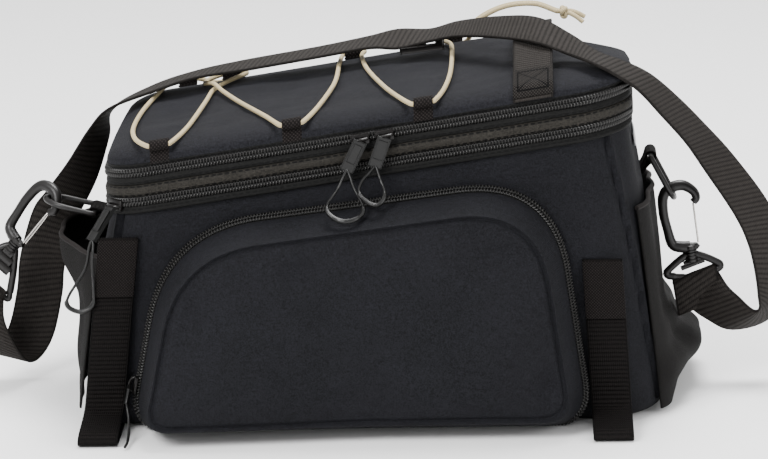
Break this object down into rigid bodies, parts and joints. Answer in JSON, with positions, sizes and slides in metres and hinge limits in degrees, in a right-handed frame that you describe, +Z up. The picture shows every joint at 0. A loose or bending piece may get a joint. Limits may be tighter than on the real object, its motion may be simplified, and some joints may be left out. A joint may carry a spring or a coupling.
{
  "type": "bicycle rack bag",
  "caption": "Wedge-topped soft bag for a bicycle rack, with zipped pockets, a bungee cord on its lid, a carry handle, rack straps and a clipped-on shoulder strap.",
  "frame": {"origin": "centre of the base's underside, on the ground", "axes": "+X along the bag to its taller end, -Y to the front pocket shown in the picture, +Z up"},
  "size_m": [0.5354, 0.293, 0.2443],
  "materials": {
    "body_cloth": "woven polyester, dark navy charcoal",
    "base_cloth": "coated cloth, black",
    "zip_tape": "zip tape with a plastic coil, black",
    "band_cloth": "woven band, blackish olive",
    "webbing": "ribbed polyester webbing, brownish black",
    "tab_webbing": "basket-weave webbing, brownish black",
    "elastic": "braided elastic cord, cream",
    "plastic": "moulded plastic, dark grey",
    "wire": "bent spring wire, bright",
    "slider_metal": "die-cast slider, black",
    "pull_cloth": "cloth tab and thin cord, black",
    "reflective": "reflective tape, light grey"
  },
  "bodies": {
    "bag": {"front_panel": "body_cloth", "back_panel": "body_cloth", "left_end_panel": "body_cloth", "right_end_panel": "body_cloth", "lid": "body_cloth", "front_pocket": "body_cloth", "back_pocket": "body_cloth", "end_pocket_left": "body_cloth", "end_pocket_right": "body_cloth", "base_panel": "base_cloth", "expander_zip": "zip_tape", "lid_zip": "zip_tape", "front_pocket_zip": "zip_tape", "back_pocket_zip": "zip_tape", "lid_band": "band_cloth", "carry_handle": "webbing", "shoulder_strap": "webbing", "ring_tab_left": "webbing", "ring_tab_right": "webbing", "rack_strap_front_left": "webbing", "rack_strap_front_right": "webbing", "rack_strap_back_left": "webbing", "rack_strap_back_right": "webbing", "cord_tab_front_1": "tab_webbing", "cord_tab_front_2": "tab_webbing", "cord_tab_front_3": "tab_webbing", "cord_tab_back_1": "tab_webbing", "cord_tab_back_2": "tab_webbing", "cord_tab_back_3": "tab_webbing", "cord_tab_back_4": "tab_webbing", "elastic_cord": "elastic", "cord_knot": "elastic", "d_ring_left": "plastic", "d_ring_right": "plastic", "hook_left": "plastic", "hook_right": "plastic", "strap_eye_left": "plastic", "strap_eye_right": "plastic", "lid_slider_1": "slider_metal", "lid_slider_2": "slider_metal", "expander_slider": "slider_metal", "front_pocket_slider": "slider_metal", "back_pocket_slider": "slider_metal", "lid_pull_1": "pull_cloth", "lid_pull_2": "pull_cloth", "expander_pull": "pull_cloth", "front_pocket_pull": "pull_cloth", "back_pocket_pull": "pull_cloth", "reflector_strip": "reflective"},
    "gate_left": {"hook_gate_left": "wire"},
    "gate_right": {"hook_gate_right": "wire"}
  },
  "joints": [
    {"name": "hook_gate_right_hinge", "type": "hinge", "parent": "bag", "child": "gate_right", "pos_m": [0.20776, 0, 0.09112], "axis": [0, -1, 0], "range_deg": [0, 25], "stiffness_Nm_per_rad": 0.01, "springref_deg": -5.73},
    {"name": "hook_gate_left_hinge", "type": "hinge", "parent": "bag", "child": "gate_left", "pos_m": [-0.22675, -0.00323, 0.09697], "axis": [-0.4409, -0.8193, 0.3665], "range_deg": [0, 25], "stiffness_Nm_per_rad": 0.01, "springref_deg": -5.73}
  ]
}
